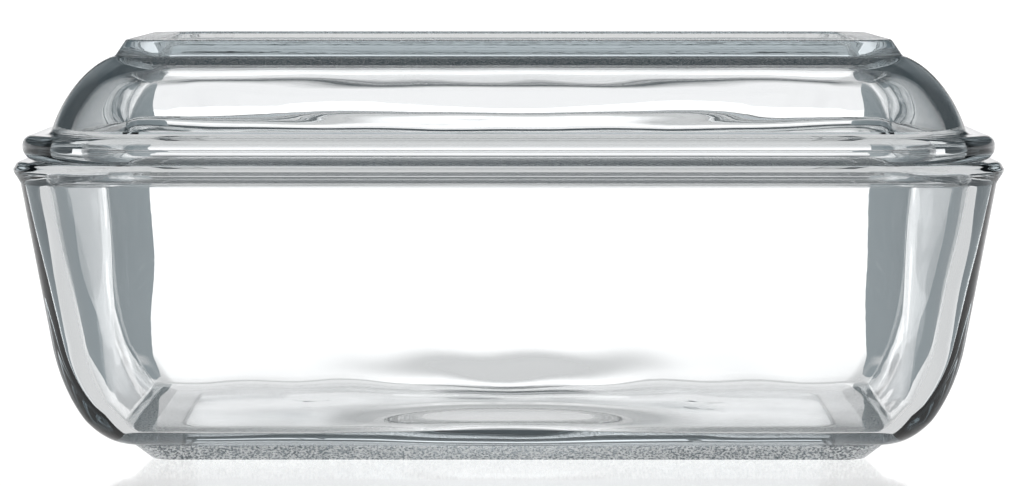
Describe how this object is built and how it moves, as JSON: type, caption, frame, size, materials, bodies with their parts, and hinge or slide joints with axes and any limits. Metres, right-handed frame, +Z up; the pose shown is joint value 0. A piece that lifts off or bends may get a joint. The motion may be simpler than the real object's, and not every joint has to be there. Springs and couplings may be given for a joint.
{
  "type": "butter dish",
  "caption": "Rectangular clear pressed-glass butter dish: deep footed dish with a flared lip and a shouldered lid with a raised ring, which lifts off.",
  "frame": {"origin": "on the table, under the middle of the dish", "axes": "+Z up, +X along the dish's length, +Y across it"},
  "size_m": [0.17, 0.105, 0.0732],
  "materials": {
    "glass": "clear fire-polished pressed soda-lime glass, faint grey-green tint in its thickness"
  },
  "bodies": {
    "dish": {"dish": "glass"},
    "lid": {"lid": "glass"}
  },
  "joints": [
    {"name": "lid_lift", "type": "slide", "parent": "dish", "child": "lid", "axis": [0, 0, 1], "range_m": [0, 0.1]}
  ]
}
